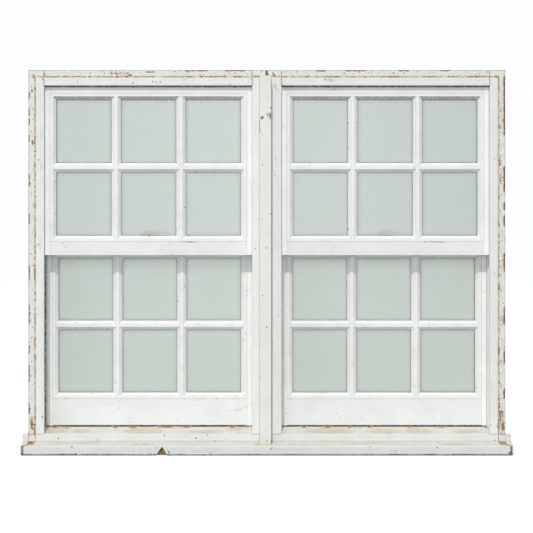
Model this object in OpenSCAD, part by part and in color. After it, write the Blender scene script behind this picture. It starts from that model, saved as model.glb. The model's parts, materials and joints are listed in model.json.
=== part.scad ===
// Twin double-hung sash window: two units of six panes over six, side by side on one sill.
// Millimetres. +Z is up and +Y points into the room. x = 0 is the joint of the two middle
// jambs, y = 0 is the outer face of the linings and z = 0 is the underside of the sill.

/* [Panes and glazing] */
// Sight width of one pane
pane_w = 166.4; // [120:0.1:260]
// Sight height of one pane
pane_h = 190.6; // [140:0.1:300]
// Width of a glazing bar, over its two bevels
muntin_w = 28; // [24:0.5:36]
// Width of the flat fillet along the middle of a glazing bar
fillet_w = 10; // [6:0.5:14]
// Thickness of the glass
glass_t = 3; // [2:0.5:4]
// Width of the mitred glazing bead round each sash
bead_w = 17.7; // [14:0.1:20]
// Depth of the glass behind the outer face of the sash
glass_set = 10; // [8:0.5:13]
// Square edge that the bevels keep next to the glass
bevel_edge = 1.5; // [0.5:0.1:3]

/* [Sash members] */
// Thickness of every sash
sash_t = 35; // [33:0.5:44]
// Width of a stile
stile_w = 45; // [42:0.5:70]
// Height of the upper sash's top rail
top_rail_h = 52; // [40:0.5:80]
// Height of the upper sash's meeting rail
upper_meeting_h = 58.5; // [48:0.5:80]
// Height of the lower sash's meeting rail
lower_meeting_h = 66; // [56:0.5:90]
// Height of the lower sash's bottom rail
bottom_rail_h = 100; // [70:0.5:140]

/* [Frame] */
// Thickness of the two outer jambs
jamb_t = 34; // [24:0.5:45]
// Thickness of each of the two middle jambs
mullion_jamb_t = 31.3; // [24:0.1:45]
// Thickness of the head jambs
head_t = 33; // [24:0.5:45]
// Thickness of the linings on the outer edges of the jambs
lining_t = 13; // [10:0.5:20]
// How far linings, parting stops and interior stops stand out past the jamb face
stop_show = 12.7; // [10:0.1:16]
// Thickness of the parting stops between the two tracks
parting_w = 12.7; // [10:0.1:16]
// Depth of the interior stops, from the lower sash's track to the room
interior_stop_w = 30; // [15:0.5:45]
// Depth of the housings for the head and the sill in the jambs
housing = 8; // [4:0.5:12]

/* [Sill] */
// How far the nose stands out in front of the linings
nose_out = 48; // [25:0.5:80]
// Height of the nose's front face
nose_h = 27; // [18:0.5:40]
// Fall of the tread, from the step to the nose, in degrees
tread_fall = 11.5; // [5:0.5:15]
// Height of the step under the linings
step_h = 21.5; // [10:0.5:35]
// Fall of the sill under the sashes, in degrees
sill_fall = 15.5; // [8:0.5:18]
// Length of each horn past the outer face of its jamb
horn_l = 16.5; // [5:0.5:60]
// How far the horns reach back behind the face of the linings
horn_back = 4; // [0:0.5:10]

/* [Mullion cover] */
// Width of the cover strip over the joint of the two units
cover_w = 34; // [26:0.5:60]
// Thickness of the cover strip
cover_t = 36; // [15:0.5:42]
// Sideways offset of the cover strip from the joint
cover_shift = -4.6; // [-6:0.1:6]
// Distance from the top of the frame down to the top of the cover strip
cover_drop = 22; // [0:0.5:40]

/* [Clearances and travel] */
// Gap between a sash and each jamb
side_gap = 1.5; // [1:0.1:3]
// Gap between a sash and the stops on each side of its track
track_play = 0.8; // [0.5:0.1:1.5]
// Gap between the upper sash and the head
head_gap = 1.2; // [0.5:0.1:3]
// Gap between the lower sash and the sill
sill_gap = 0.8; // [0.3:0.1:3]
// Gap between the two bevelled meeting rails
meeting_gap = 0.5; // [0.3:0.1:1]
// Hair line left at each mitre and scribed joint of the stops, beads and bars
hair = 0.1; // [0.05:0.05:0.2]
// Space left above a lock when its sash is all the way up
travel_spare = 4.7; // [2:0.1:60]

/* [Balances] */
// Outer diameter of a balance tube
tube_d = 16; // [13:0.1:17]
// Wall of a balance tube
tube_wall = 1; // [0.8:0.1:1.5]
// Diameter over the twisted rod
rod_d = 5; // [4:0.5:6]

/* [Sash locks] */
// Diameter of the hub that carries the cam and the lever
hub_d = 33; // [28:0.5:40]
// Height of a lock above its rail
lock_h = 20; // [17:0.5:26]
// Reach of the lever from the pivot
lever_l = 48; // [40:0.5:70]

/* [Hidden] */
UNITS = ["left", "right"];
ROWS = ["upper", "lower"];
SASH_PARTS = ["left_stile", "right_stile", "top_rail", "bottom_rail", "muntins", "panes", "beads",
    "balance_rods"];
UNIT_PARTS = ["head_jamb", "head_lining", "parting_stops", "interior_stops",
    "sash_lock_base", "sash_lock_arm", "sash_lock_keeper"];
SASHES = [for (row = ROWS) for (unit = UNITS) str(row, "_", unit, "_sash")];
$fn = 48;
far = 4000; // longer than any piece, for cuts that run right through

// across the window
sash_w = 2 * stile_w + 3 * pane_w + 2 * muntin_w;
sight_w = sash_w - 2 * stile_w;
opening_w = sash_w + 2 * side_gap;
unit_x = mullion_jamb_t + opening_w / 2;
frame_half = unit_x + opening_w / 2 + jamb_t;
bar_x = (pane_w + muntin_w) / 2; // middle of a sash to the middle of a vertical bar

// from the outside to the room
track_w = sash_t + 2 * track_play;
upper_y = lining_t + track_play;
parting_y = lining_t + track_w;
lower_y = parting_y + parting_w + track_play;
inner_stop_y = parting_y + parting_w + track_w;
frame_y = inner_stop_y + interior_stop_w;
plane_gap = lower_y - upper_y - sash_t; // between the inner face of the upper sash and the lower sash

// from the sill to the head
step_z = nose_h + nose_out * tan(tread_fall) + step_h;
function sill_z(y) = step_z + y * tan(sill_fall);
glazed_h = 2 * pane_h + muntin_w;
lower_z = sill_z(lower_y) + sill_gap;
lower_h = bottom_rail_h + glazed_h + lower_meeting_h;
meeting_z = lower_z + lower_h; // top of both meeting rails
upper_z = meeting_z - upper_meeting_h;
upper_h = upper_meeting_h + glazed_h + top_rail_h;
head_z = upper_z + upper_h + head_gap;
frame_h = head_z + head_t;
sash_travel = head_z - stop_show - meeting_z - lock_h - travel_spare; // up to the head's parting stop

// sash sections
rebate_w = bead_w + 0.3; // the bead lies in it with a hair line round it
rebate_d = glass_set + glass_t;
bevel_w = (muntin_w - fillet_w) / 2;
pane_bite = bevel_w - 1; // glass behind the sight line, short of the fillet
bar_inner_w = muntin_w / 2; // width of a bar on the room side
bar_square = 4; // depth of a bar's square part behind the glass
tenon_t = 10;
tenon_l = 22;
tenon_y = rebate_d + 1;
bar_tenon = 8;
lip_half = opening_w / 2 - stop_show - side_gap; // the meeting rails' lips run between the parting stops
lip_tip = 2; // thickness of a lip's thin edge
lip_drop = 48; // height of the bevel between the two meeting rails

// stops and housings
parting_groove = 7;
stop_chamfer = 4;

// balances, in the sash edges
tube_gap = 0.3;
tube_x = opening_w / 2 - tube_gap - tube_d / 2;
groove_w = tube_d + 2;
groove_d = tube_gap + tube_d + 1 - side_gap;
tube_top = head_z - 2;
rod_hold = 30; // rod left inside the tube at the end of its travel
tube_l = sash_travel + 2 * rod_hold;
tube_bottom = tube_top - tube_l;
plug_l = 12;
bush_l = 12;
bush_play = 0.3;
spring_wall = 1.6;
screw_d = 4;
screw_head_d = 7;
screw_l = 32;
screw_seat = 1 - tube_d / 2; // under the screw's head, from the middle of the tube
screw_bite = screw_seat + screw_l - tube_d / 2 - tube_gap; // length of screw in the jamb
screw_z = tube_top - plug_l / 2;
foot_h = 12;
foot_z = 18; // above the bottom of the sash

// locks, on the meeting rails
lock_y = meeting_lip_y() + 20; // pivot, from the edge of the lower sash's lip
plate_t = 2.5;
lock_plate = [64, 24];
pivot_d = 6;
pivot_play = 0.05;
cam_z = 5; // cam above the rails
cam_t = 4;
cam_reach = lock_y - meeting_lip_y() + 7; // from the pivot to under the keeper's hood
locked_turn = 165; // from open to locked
keeper_plate = [60, 17];
keeper_y = meeting_lip_y() - 2 - keeper_plate[1];
hood_gap = 0.7;
function meeting_lip_y() = upper_y + sash_t + lip_tip;

PAINT = "WhiteSmoke";
BRASS = "DarkGoldenrod";
STEEL = "Silver";

// ---------------------------------------------------------------- helpers

// Runs a profile drawn in (y, z) along x, from x0 to x1.
module along_x(x0, x1) {
    translate([x0, 0, 0]) rotate([90, 0, 90]) linear_extrude(x1 - x0) children();
}

// Everything under the sloping top of the sill, behind the face of the linings.
module under_sill_top() {
    along_x(-far / 2, far / 2)
        polygon([[-far, -far], [far, -far], [far, sill_z(far)], [-0.01, sill_z(-0.01)],
            [-far, sill_z(-0.01)]]);
}

// Draws a piece for one unit: the left one is the mirror image of the right one.
module in_unit(unit) {
    mirror([unit == "left" ? 1 : 0, 0, 0]) translate([unit_x, 0, 0]) children();
}

// Places a sash's own frame: x from its middle, y from its outer face, z from its bottom edge.
module in_sash(row, unit) {
    x = unit == "left" ? -unit_x : unit_x;
    translate(row == "upper" ? [x, upper_y, upper_z] : [x, lower_y, lower_z]) children();
}

function sash_h(row) = row == "upper" ? upper_h : lower_h;
function bottom_h(row) = row == "upper" ? upper_meeting_h : bottom_rail_h;
function top_h(row) = row == "upper" ? top_rail_h : lower_meeting_h;

// ---------------------------------------------------------------- sill and jambs

// Section of the sill, with a drip groove under the nose.
module sill_section(back) {
    ease = 2;
    flat = 40;
    drip_y = 12 - nose_out;
    drip_w = 6;
    polygon([
        [-nose_out + ease, 0], [-nose_out, ease], [-nose_out, nose_h - ease],
        [-nose_out + ease, nose_h + ease * tan(tread_fall)],
        [0, nose_h + nose_out * tan(tread_fall)],
        [0, step_z - ease], [ease, sill_z(ease)],
        [back, sill_z(back)], [back, max(0, (back - flat) * tan(sill_fall))],
        [min(back, flat), 0], [drip_y + drip_w, 0], [drip_y + drip_w / 2, drip_w / 2], [drip_y, 0]]);
}

// One sill for both units. It is let into the outer jambs, runs in front of them, and its
// horns stop at the wall's face. The front edge has lost one splintered wedge.
module sill() {
    horn_x = frame_half + horn_l;
    end_r = 6;
    color(PAINT) difference() {
        union() {
            along_x(-frame_half + jamb_t - housing, frame_half - jamb_t + housing) sill_section(frame_y);
            along_x(-frame_half, frame_half) sill_section(lining_t);
            along_x(-horn_x, horn_x) sill_section(horn_back);
        }
        for (s = [-1, 1]) translate([s * (horn_x - end_r), -far / 2, end_r]) difference() {
            translate([s > 0 ? 0 : -end_r - 1, 0, -end_r - 1]) cube([end_r + 1, far, end_r + 1]);
            rotate([-90, 0, 0]) cylinder(r = end_r, h = far);
        }
        splintered_wedge();
    }
}

// The wedge that has broken out of the sill's front edge.
module splintered_wedge() {
    bite_x = -310;
    bite_depth = 14;
    intersection() {
        translate([0, bite_depth - nose_out, 0]) rotate([90, 0, 0]) linear_extrude(2 * bite_depth)
            polygon([[bite_x - 18, -1], [bite_x - 10, nose_h / 2], [bite_x, nose_h - 1.5],
                [bite_x + 5, nose_h * 2 / 3], [bite_x + 16, -1]]);
        along_x(bite_x - 30, bite_x + 30) translate([-nose_out, 0])
            polygon([[-1, nose_h], [3, nose_h], [bite_depth, -1], [-1, -1]]);
    }
}

// Groove for a parting stop, cut in the face of a jamb that looks to -x, at x = 0.
module parting_cut() {
    translate([-1, parting_y, -far / 2]) cube([parting_groove + 1, parting_w, far]);
}

// Housing for the end of a head jamb, in the face at x = 0.
module head_housing() {
    translate([-1, lining_t, head_z]) cube([housing + 1, far, head_t + 1]);
}

// Pilot holes for the screws that hold the balance tubes, in the face at x = 0.
module balance_pilots() {
    for (y = [upper_y, lower_y]) translate([-1, y + sash_t / 2, screw_z]) rotate([0, 90, 0])
        cylinder(d = screw_d, h = screw_bite + 1 + tube_gap);
}

// A jamb whose face is at x = 0 and whose thickness runs to +x.
module jamb(thickness) {
    difference() {
        translate([0, lining_t, 0]) cube([thickness, frame_y - lining_t, frame_h]);
        parting_cut();
        head_housing();
        balance_pilots();
    }
}

// Outer jamb, down to the underside of the sill, with a housing cut to the sill's own section.
module outer_jamb(unit) {
    color(PAINT) in_unit(unit) translate([opening_w / 2, 0, 0]) difference() {
        jamb(jamb_t);
        along_x(-1, housing) sill_section(frame_y + 1);
    }
}

// Middle jamb, which stands on the sill.
module mullion_jamb(unit) {
    color(PAINT) difference() {
        in_unit(unit) translate([-opening_w / 2, 0, 0]) mirror([1, 0, 0]) jamb(mullion_jamb_t);
        under_sill_top();
    }
}

module head_jamb(unit) {
    color(PAINT) in_unit(unit) difference() {
        translate([-opening_w / 2 - housing, lining_t, head_z])
            cube([opening_w + 2 * housing, frame_y - lining_t, head_t]);
        translate([-opening_w / 2, parting_y, head_z - 1]) cube([opening_w, parting_w, parting_groove + 1]);
    }
}

// ---------------------------------------------------------------- linings, stops and cover

// Outer lining of a unit: over the jamb's edge and past its face. It runs to the top of the frame.
module outer_lining(unit) {
    color(PAINT) difference() {
        in_unit(unit) translate([opening_w / 2 - stop_show, 0, 0])
            cube([jamb_t + stop_show, lining_t, frame_h]);
        under_sill_top();
    }
}

module mullion_lining(unit) {
    color(PAINT) difference() {
        in_unit(unit) translate([-unit_x, 0, 0]) cube([mullion_jamb_t + stop_show, lining_t, frame_h]);
        under_sill_top();
    }
}

// Head lining, between the two upright linings.
module head_lining(unit) {
    color(PAINT) in_unit(unit) translate([stop_show - opening_w / 2, 0, head_z - stop_show])
        cube([opening_w - 2 * stop_show, lining_t, head_t + stop_show]);
}

// Strip over the joint of the two units. It stands on the tread of the sill.
module mullion_cover() {
    color(PAINT) difference() {
        translate([cover_shift - cover_w / 2, -cover_t, 0]) cube([cover_w, cover_t, frame_h - cover_drop]);
        along_x(-cover_w, cover_w) sill_section(horn_back);
        translate([-cover_w, -nose_out, -1]) cube([2 * cover_w, nose_out + horn_back, nose_h]);
    }
}

// Parting stops of a unit: two uprights in the jambs' grooves, and one in the head between them.
module parting_stops(unit) {
    deep = parting_groove + stop_show;
    color(PAINT) in_unit(unit) {
        for (s = [-1, 1]) difference() {
            translate([s * (opening_w / 2 + parting_groove - deep / 2), parting_y + parting_w / 2, 0])
                translate([-deep / 2, -parting_w / 2, 0]) cube([deep, parting_w, head_z]);
            under_sill_top();
        }
        translate([stop_show + hair - opening_w / 2, parting_y, head_z - stop_show])
            cube([opening_w - 2 * stop_show - 2 * hair, parting_w, deep]);
    }
}

// Section of an interior stop: x from the jamb face, with its outer arris taken off on the room side.
module interior_stop_section() {
    polygon([[0, 0], [stop_show, 0], [stop_show, interior_stop_w - stop_chamfer],
        [stop_show - stop_chamfer, interior_stop_w], [0, interior_stop_w]]);
}

// Interior stops of a unit: two uprights, mitred to one along the head.
module interior_stops(unit) {
    color(PAINT) in_unit(unit) translate([0, inner_stop_y, 0]) {
        for (s = [0, 1]) mirror([s, 0, 0]) difference() {
            translate([-opening_w / 2, 0, 0]) linear_extrude(head_z) interior_stop_section();
            mitre_cut([-opening_w / 2, head_z - hair]);
            translate([0, -inner_stop_y, 0]) under_sill_top();
        }
        difference() {
            translate([-opening_w / 2, 0, head_z]) rotate([0, 90, 0]) linear_extrude(opening_w)
                interior_stop_section();
            for (s = [0, 1]) mirror([s, 0, 0]) difference() {
                translate([-opening_w / 2 - 1, -1, head_z - stop_show - 1])
                    cube([stop_show + 2, interior_stop_w + 2, stop_show + 2]);
                mitre_cut([-opening_w / 2, head_z]);
            }
        }
    }
}

// Everything above the 45 degree plane that falls inwards from a corner at [x, z].
module mitre_cut(corner) {
    translate([corner[0], -far / 2, corner[1]]) rotate([0, 45, 0]) cube([far, far, far]);
}

// ---------------------------------------------------------------- sashes

// Half of a bar's section, along z: a fillet at the sash's face, a square part behind the glass and
// a splay towards the room. Room is what a scribed joint leaves round it.
function half_bar(room) = [
    [fillet_w / 2 + room, -room], [fillet_w / 2 + room, rebate_d - room],
    [muntin_w / 2 + room, rebate_d - room], [muntin_w / 2 + room, rebate_d + bar_square],
    [bar_inner_w / 2 + room, sash_t + room]];

module bar_section(room = 0) {
    half = half_bar(room);
    polygon(concat(half, [for (i = [len(half) - 1:-1:0]) [-half[i][0], half[i][1]]]));
}

// Section of the glazing bead: u from the sight line, y from the sash's face.
module bead_section(width, room = 0) {
    polygon([[-room, glass_set - bevel_edge - room], [bevel_w, -room], [width, -room], [width, glass_set],
        [-room, glass_set]]);
}

// A bead from [0, 0] to [0, length] on the sight line, lying on its -x side, mitred outwards at both ends.
module mitred_bead(length, width) {
    intersection() {
        translate([0, 0, -width]) linear_extrude(length + 2 * width) mirror([1, 0]) bead_section(width);
        translate([0, far / 4, 0]) rotate([90, 0, 0]) linear_extrude(far / 2)
            polygon([[0, hair], [-width - 1, hair - width - 1], [-width - 1, length + width + 1 - hair],
                [0, length - hair]]);
    }
}

// What the perimeter beads at the sides (upright) or at the top and bottom take from the strips.
module bead_scribe(row, upright) {
    low = bottom_h(row);
    if (upright) for (s = [0, 1]) mirror([s, 0, 0]) translate([-sight_w / 2, 0, 0])
        linear_extrude(sash_h(row)) mirror([1, 0]) bead_section(bead_w, hair);
    else for (z = [0, 1]) translate([sash_w / 2, 0, low + z * glazed_h]) mirror([0, 0, z])
        rotate([0, -90, 0]) linear_extrude(sash_w) mirror([1, 0]) bead_section(bead_w, hair);
}

// Four mitred beads round the glazed area of a sash.
module perimeter_beads(row) {
    low = bottom_h(row);
    for (s = [0, 1]) mirror([s, 0, 0]) translate([-sight_w / 2, 0, low]) mitred_bead(glazed_h, bead_w);
    translate([sight_w / 2, 0, low]) rotate([0, -90, 0]) mitred_bead(sight_w, bead_w);
    translate([-sight_w / 2, 0, low + glazed_h]) rotate([0, 90, 0]) mitred_bead(sight_w, bead_w);
}

// The bevelled strips that hold the panes along the glazing bars, scribed to the perimeter beads.
module bar_beads(row) {
    low = bottom_h(row);
    difference() {
        for (i = [-1, 1]) for (j = [0, 1]) for (s = [0, 1])
            translate([i * bar_x, 0, low + j * (pane_h + muntin_w)]) mirror([s, 0, 0])
                translate([muntin_w / 2, 0, 0]) mitred_bead(pane_h, bevel_w);
        bead_scribe(row, false);
    }
    difference() {
        for (i = [-1, 0, 1]) for (s = [0, 1])
            translate([i * (pane_w + muntin_w), 0, low + glazed_h / 2]) mirror([0, 0, s])
                translate([pane_w / 2, 0, muntin_w / 2]) rotate([0, -90, 0]) mitred_bead(pane_w, bevel_w);
        bead_scribe(row, true);
    }
}

module sash_beads(row, unit) {
    color(PAINT) in_sash(row, unit) {
        perimeter_beads(row);
        bar_beads(row);
    }
}

// Clears the end of a bar below z = 0: the rail or stile behind the glass, and the bead in front of it.
module bar_end_cuts() {
    translate([-muntin_w, rebate_d, -far]) difference() {
        cube([2 * muntin_w, sash_t, far]);
        translate([muntin_w - tenon_t / 2, tenon_y - rebate_d, far - bar_tenon])
            cube([tenon_t, tenon_t, bar_tenon]);
    }
    translate([muntin_w, 0, 0]) rotate([0, -90, 0]) linear_extrude(2 * muntin_w) mirror([1, 0])
        bead_section(bead_w, hair);
    translate([-muntin_w, glass_set, -far]) cube([2 * muntin_w, rebate_d - glass_set, far]);
}

// The two tenons of a bar from z = 0 to z = length.
module bar_tenons(length) {
    translate([-tenon_t / 2, tenon_y, -bar_tenon]) cube([tenon_t, tenon_t, length + 2 * bar_tenon]);
}

// A bar from sight line to sight line, along z.
module bar(length) {
    difference() {
        union() {
            translate([0, 0, -bevel_w]) linear_extrude(length + 2 * bevel_w) bar_section();
            bar_tenons(length);
        }
        bar_end_cuts();
        translate([0, 0, length]) mirror([0, 0, 1]) bar_end_cuts();
    }
}

// Places something along an upright bar, or along the cross bar.
module at_upright(row, i) { translate([i * bar_x, 0, bottom_h(row)]) children(); }

module at_cross(row) {
    translate([-sight_w / 2, 0, bottom_h(row) + glazed_h / 2]) rotate([0, 90, 0]) children();
}

// Cross bars, in three lengths scribed to the uprights.
module cross_bars(row) {
    difference() {
        at_cross(row) bar(sight_w);
        for (i = [-1, 1]) at_upright(row, i) linear_extrude(glazed_h) bar_section(hair);
    }
}

module sash_muntins(row, unit) {
    color(PAINT) in_sash(row, unit) {
        for (i = [-1, 1]) at_upright(row, i) bar(glazed_h);
        cross_bars(row);
    }
}

module sash_panes(row, unit) {
    color("LightCyan", 0.5) in_sash(row, unit)
        for (i = [-1, 0, 1]) for (j = [0, 1])
            translate([i * (pane_w + muntin_w) - pane_w / 2 - pane_bite, glass_set,
                    bottom_h(row) + j * (pane_h + muntin_w) - pane_bite])
                cube([pane_w + 2 * pane_bite, glass_t, pane_h + 2 * pane_bite]);
}

// The bottom of the lower sash is cut to the fall of the sill.
module sill_bevel(row) {
    if (row == "lower") translate([0, -lower_y, -lower_z + sill_gap]) under_sill_top();
}

// Tenons of a rail from z0 to z1, for both the rail and its mortises.
module rail_tenons(z0, z1) {
    translate([-sight_w / 2 - tenon_l, tenon_y, z0]) cube([sight_w + 2 * tenon_l, tenon_t, z1 - z0]);
}

module bottom_tenons(row) { rail_tenons(bottom_h(row) / 4, bottom_h(row) - 8); }

module top_tenons(row) { rail_tenons(sash_h(row) - top_h(row) + 8, sash_h(row) - top_h(row) / 4); }

module cross_mortises(row) { at_cross(row) bar_tenons(sight_w); }

module upright_mortises(row) { for (i = [-1, 1]) at_upright(row, i) bar_tenons(glazed_h); }

// Stile, rebated for glass and bead, and ploughed along its edge for the balance.
module sash_stile(row, unit, side) {
    color(PAINT) in_sash(row, unit) difference() {
        mirror([side == "right" ? 1 : 0, 0, 0]) translate([-sash_w / 2, 0, 0]) difference() {
            cube([stile_w, sash_t, sash_h(row)]);
            translate([stile_w - rebate_w, -1, -1]) cube([rebate_w + 1, rebate_d + 1, far]);
            translate([-1, (sash_t - groove_w) / 2, -1]) cube([groove_d + 1, groove_w, far]);
        }
        bottom_tenons(row);
        top_tenons(row);
        cross_mortises(row);
        sill_bevel(row);
    }
}

// Rail from z = 0 to z = height, with the glass above it. Its outer shoulders reach over the stiles' rebates.
module rail(height) {
    translate([-sight_w / 2, rebate_d, 0]) cube([sight_w, sash_t - rebate_d, height]);
    translate([-sight_w / 2 - rebate_w, 0, 0]) cube([sight_w + 2 * rebate_w, rebate_d, height - rebate_w]);
}

// Lip of the upper sash's meeting rail, on its room side, and of the lower sash's, on its outer side.
module upper_lip() {
    thick = plane_gap - lip_tip - meeting_gap / 2;
    along_x(-lip_half, lip_half) translate([sash_t, 0]) polygon([
        [0, 0], [thick, 0], [thick, upper_meeting_h - lip_drop], [lip_tip - meeting_gap / 2, upper_meeting_h],
        [0, upper_meeting_h]]);
}

module lower_lip() {
    thick = plane_gap - lip_tip - meeting_gap / 2;
    along_x(-lip_half, lip_half) translate([0, lower_h]) polygon([
        [0, 0], [-thick, 0], [-lip_tip + meeting_gap / 2, -lip_drop], [0, -lip_drop]]);
}

module sash_bottom_rail(row, unit) {
    color(PAINT) in_sash(row, unit) difference() {
        union() {
            rail(bottom_h(row));
            bottom_tenons(row);
            if (row == "upper") upper_lip();
        }
        upright_mortises(row);
        sill_bevel(row);
    }
}

module sash_top_rail(row, unit) {
    color(PAINT) in_sash(row, unit) difference() {
        union() {
            translate([0, 0, sash_h(row)]) mirror([0, 0, 1]) rail(top_h(row));
            top_tenons(row);
            if (row == "lower") lower_lip();
        }
        upright_mortises(row);
    }
}

// ---------------------------------------------------------------- balances

// Places a balance of a sash: z is the frame's, x = 0 is the middle of the tube.
module at_balances(row, unit) {
    for (s = [-1, 1]) translate([(unit == "left" ? -unit_x : unit_x) + s * tube_x,
            (row == "upper" ? upper_y : lower_y) + sash_t / 2, 0]) mirror([s < 0 ? 1 : 0, 0, 0]) children();
}

module at_all_balances() {
    for (row = ROWS) for (unit = UNITS) at_balances(row, unit) children();
}

// Tube with a solid plug at the top, where its screw goes through, and a bush for the rod at the bottom.
module balance_tubes() {
    color(STEEL) at_all_balances() difference() {
        translate([0, 0, tube_bottom]) cylinder(d = tube_d, h = tube_l);
        translate([0, 0, tube_bottom + bush_l])
            cylinder(d = tube_d - 2 * tube_wall, h = tube_l - bush_l - plug_l);
        translate([0, 0, tube_bottom - 1]) cylinder(d = rod_d + 2 * bush_play, h = bush_l + 2);
        translate([-tube_d, 0, screw_z]) rotate([0, 90, 0]) {
            cylinder(d = screw_d + 0.2, h = 2 * tube_d);
            cylinder(d = screw_head_d + 0.4, h = tube_d / 2 + 4);
        }
    }
}

// Torsion spring, as the sleeve that its closed turns make between the plug and the bush.
module balance_springs() {
    outer = tube_d - 2 * tube_wall - 0.6;
    color(STEEL) at_all_balances() translate([0, 0, tube_bottom + bush_l]) difference() {
        cylinder(d = outer, h = tube_l - bush_l - plug_l);
        translate([0, 0, -1]) cylinder(d = outer - 2 * spring_wall, h = tube_l);
    }
}

// One screw through each plug into the jamb.
module balance_screws() {
    color(STEEL) at_all_balances() translate([screw_seat, 0, screw_z]) rotate([0, 90, 0]) {
        cylinder(d = screw_head_d, h = 3);
        cylinder(d = screw_d - 0.2, h = screw_l);
    }
}

// Twisted rods of one sash, each with the foot that is screwed in the groove of its stile.
module sash_balance_rods(row, unit) {
    base = (row == "upper" ? upper_z : lower_z) + foot_z;
    top = tube_bottom + rod_hold + (row == "upper" ? sash_travel : 0);
    foot_x = opening_w / 2 - tube_x - side_gap; // from the tube's middle to the sash's edge
    color(STEEL) at_balances(row, unit) {
        translate([0, 0, base]) cylinder(d = rod_d, h = top - base);
        translate([foot_x - groove_d, -groove_w / 2 + tube_gap, base])
            cube([groove_d - 1, groove_w - 2 * tube_gap, foot_h]);
    }
}

// ---------------------------------------------------------------- sash locks

module at_lock(unit) {
    translate([unit == "left" ? -unit_x : unit_x, lock_y, meeting_z]) children();
}

// Plate with a countersunk screw hole near each end.
module screw_plate(size) {
    difference() {
        translate([-size[0] / 2, -size[1] / 2, 0]) cube([size[0], size[1], plate_t]);
        for (s = [-1, 1]) translate([s * (size[0] / 2 - 5), 0, 0]) {
            translate([0, 0, -1]) cylinder(d = 4, h = plate_t + 2);
            translate([0, 0, plate_t - 1.5]) cylinder(d1 = 4, d2 = 7, h = 1.51);
        }
    }
}

// Plate and pivot of the lock, on the lower sash's meeting rail.
module sash_lock_base(unit) {
    color(BRASS) at_lock(unit) {
        screw_plate(lock_plate);
        cylinder(d = pivot_d, h = lock_h - 3);
        translate([0, 0, lock_h - 3]) cylinder(d = pivot_d + 3, h = 1.5);
    }
}

// Hub, cam and thumb lever in one casting, drawn unlocked: the lever points to +x and the cam to the room.
module sash_lock_arm(unit) {
    base = plate_t + 0.4;
    cam_turn = -90 - locked_turn;
    color(BRASS) at_lock(unit) difference() {
        union() {
            rotate_extrude() hub_section(base);
            rotate([0, 0, cam_turn]) translate([0, 0, cam_z]) linear_extrude(cam_t) intersection() {
                circle(r = cam_reach);
                polygon([[0, -hub_d / 4], [cam_reach + 1, -10], [cam_reach + 1, 10], [0, hub_d / 4]]);
            }
            translate([0, -4, cam_z + cam_t - 1]) cube([lever_l - 6, 8, 6]);
            translate([lever_l - 6, 0, cam_z + cam_t - 1]) cylinder(d = 12, h = 7);
        }
        translate([0, 0, -1]) cylinder(d = pivot_d + 2 * pivot_play, h = lock_h + 2);
        translate([0, 0, lock_h - 3.4]) cylinder(d = pivot_d + 4, h = 5);
    }
}

// Half section of the hub: straight at the foot, domed above.
module hub_section(base) {
    dome = lock_h - base - 8;
    steps = 10;
    polygon(concat([[0, base], [hub_d / 2, base]],
        [for (i = [0:steps]) [hub_d / 2 * cos(90 * i / steps), lock_h - dome + dome * sin(90 * i / steps)]]));
}

// Keeper on the upper sash's meeting rail: a plate, a wall and a hood that the cam turns in under.
module sash_lock_keeper(unit) {
    hood_z = cam_z + cam_t + hood_gap;
    hood_l = 40;
    wall = 3;
    wall_y = keeper_y + 2;
    color(BRASS) translate([unit == "left" ? -unit_x : unit_x, 0, meeting_z]) {
        translate([0, keeper_y + keeper_plate[1] / 2, 0]) screw_plate(keeper_plate);
        translate([-hood_l / 2, wall_y, 0]) cube([hood_l, wall, hood_z + wall]);
        translate([-hood_l / 2, wall_y, hood_z]) cube([hood_l, keeper_plate[1] - 2, wall]);
    }
}

// ---------------------------------------------------------------- the nodes

sill();
outer_jamb("left");  // left_jamb
outer_jamb("right");  // right_jamb
mullion_jamb("left");  // left_mullion_jamb
mullion_jamb("right");  // right_mullion_jamb
outer_lining("left");  // left_lining
outer_lining("right");  // right_lining
mullion_lining("left");  // left_mullion_lining
mullion_lining("right");  // right_mullion_lining
mullion_cover();
balance_tubes();
balance_springs();
balance_screws();
for (unit = UNITS) {
    head_jamb(unit);
    head_lining(unit);
    parting_stops(unit);
    interior_stops(unit);
    sash_lock_base(unit);
    sash_lock_arm(unit);
    sash_lock_keeper(unit);
    for (row = ROWS) {
        sash = str(row, "_", unit, "_sash_");
        sash_stile(row, unit, "left");
        sash_stile(row, unit, "right");
        sash_top_rail(row, unit);
        sash_bottom_rail(row, unit);
        sash_muntins(row, unit);
        sash_panes(row, unit);
        sash_beads(row, unit);
        sash_balance_rods(row, unit);
    }
}
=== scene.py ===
# %% [markdown]
# # A weathered twin sash window
# Two double-hung units, six panes over six, stand side by side on one wooden sill. The shape comes from
# the imported model, so this lesson is about the surface: old oil paint on softwood, chips and caulk
# where the outer casing was, hazy old glass, brass locks and steel balances. We load the model first.
# Nothing that we add may stand outside it.

# %% Load the imported window
import bmesh
import bpy
import json
import math
import numpy as np
import random
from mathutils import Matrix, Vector, noise


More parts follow.
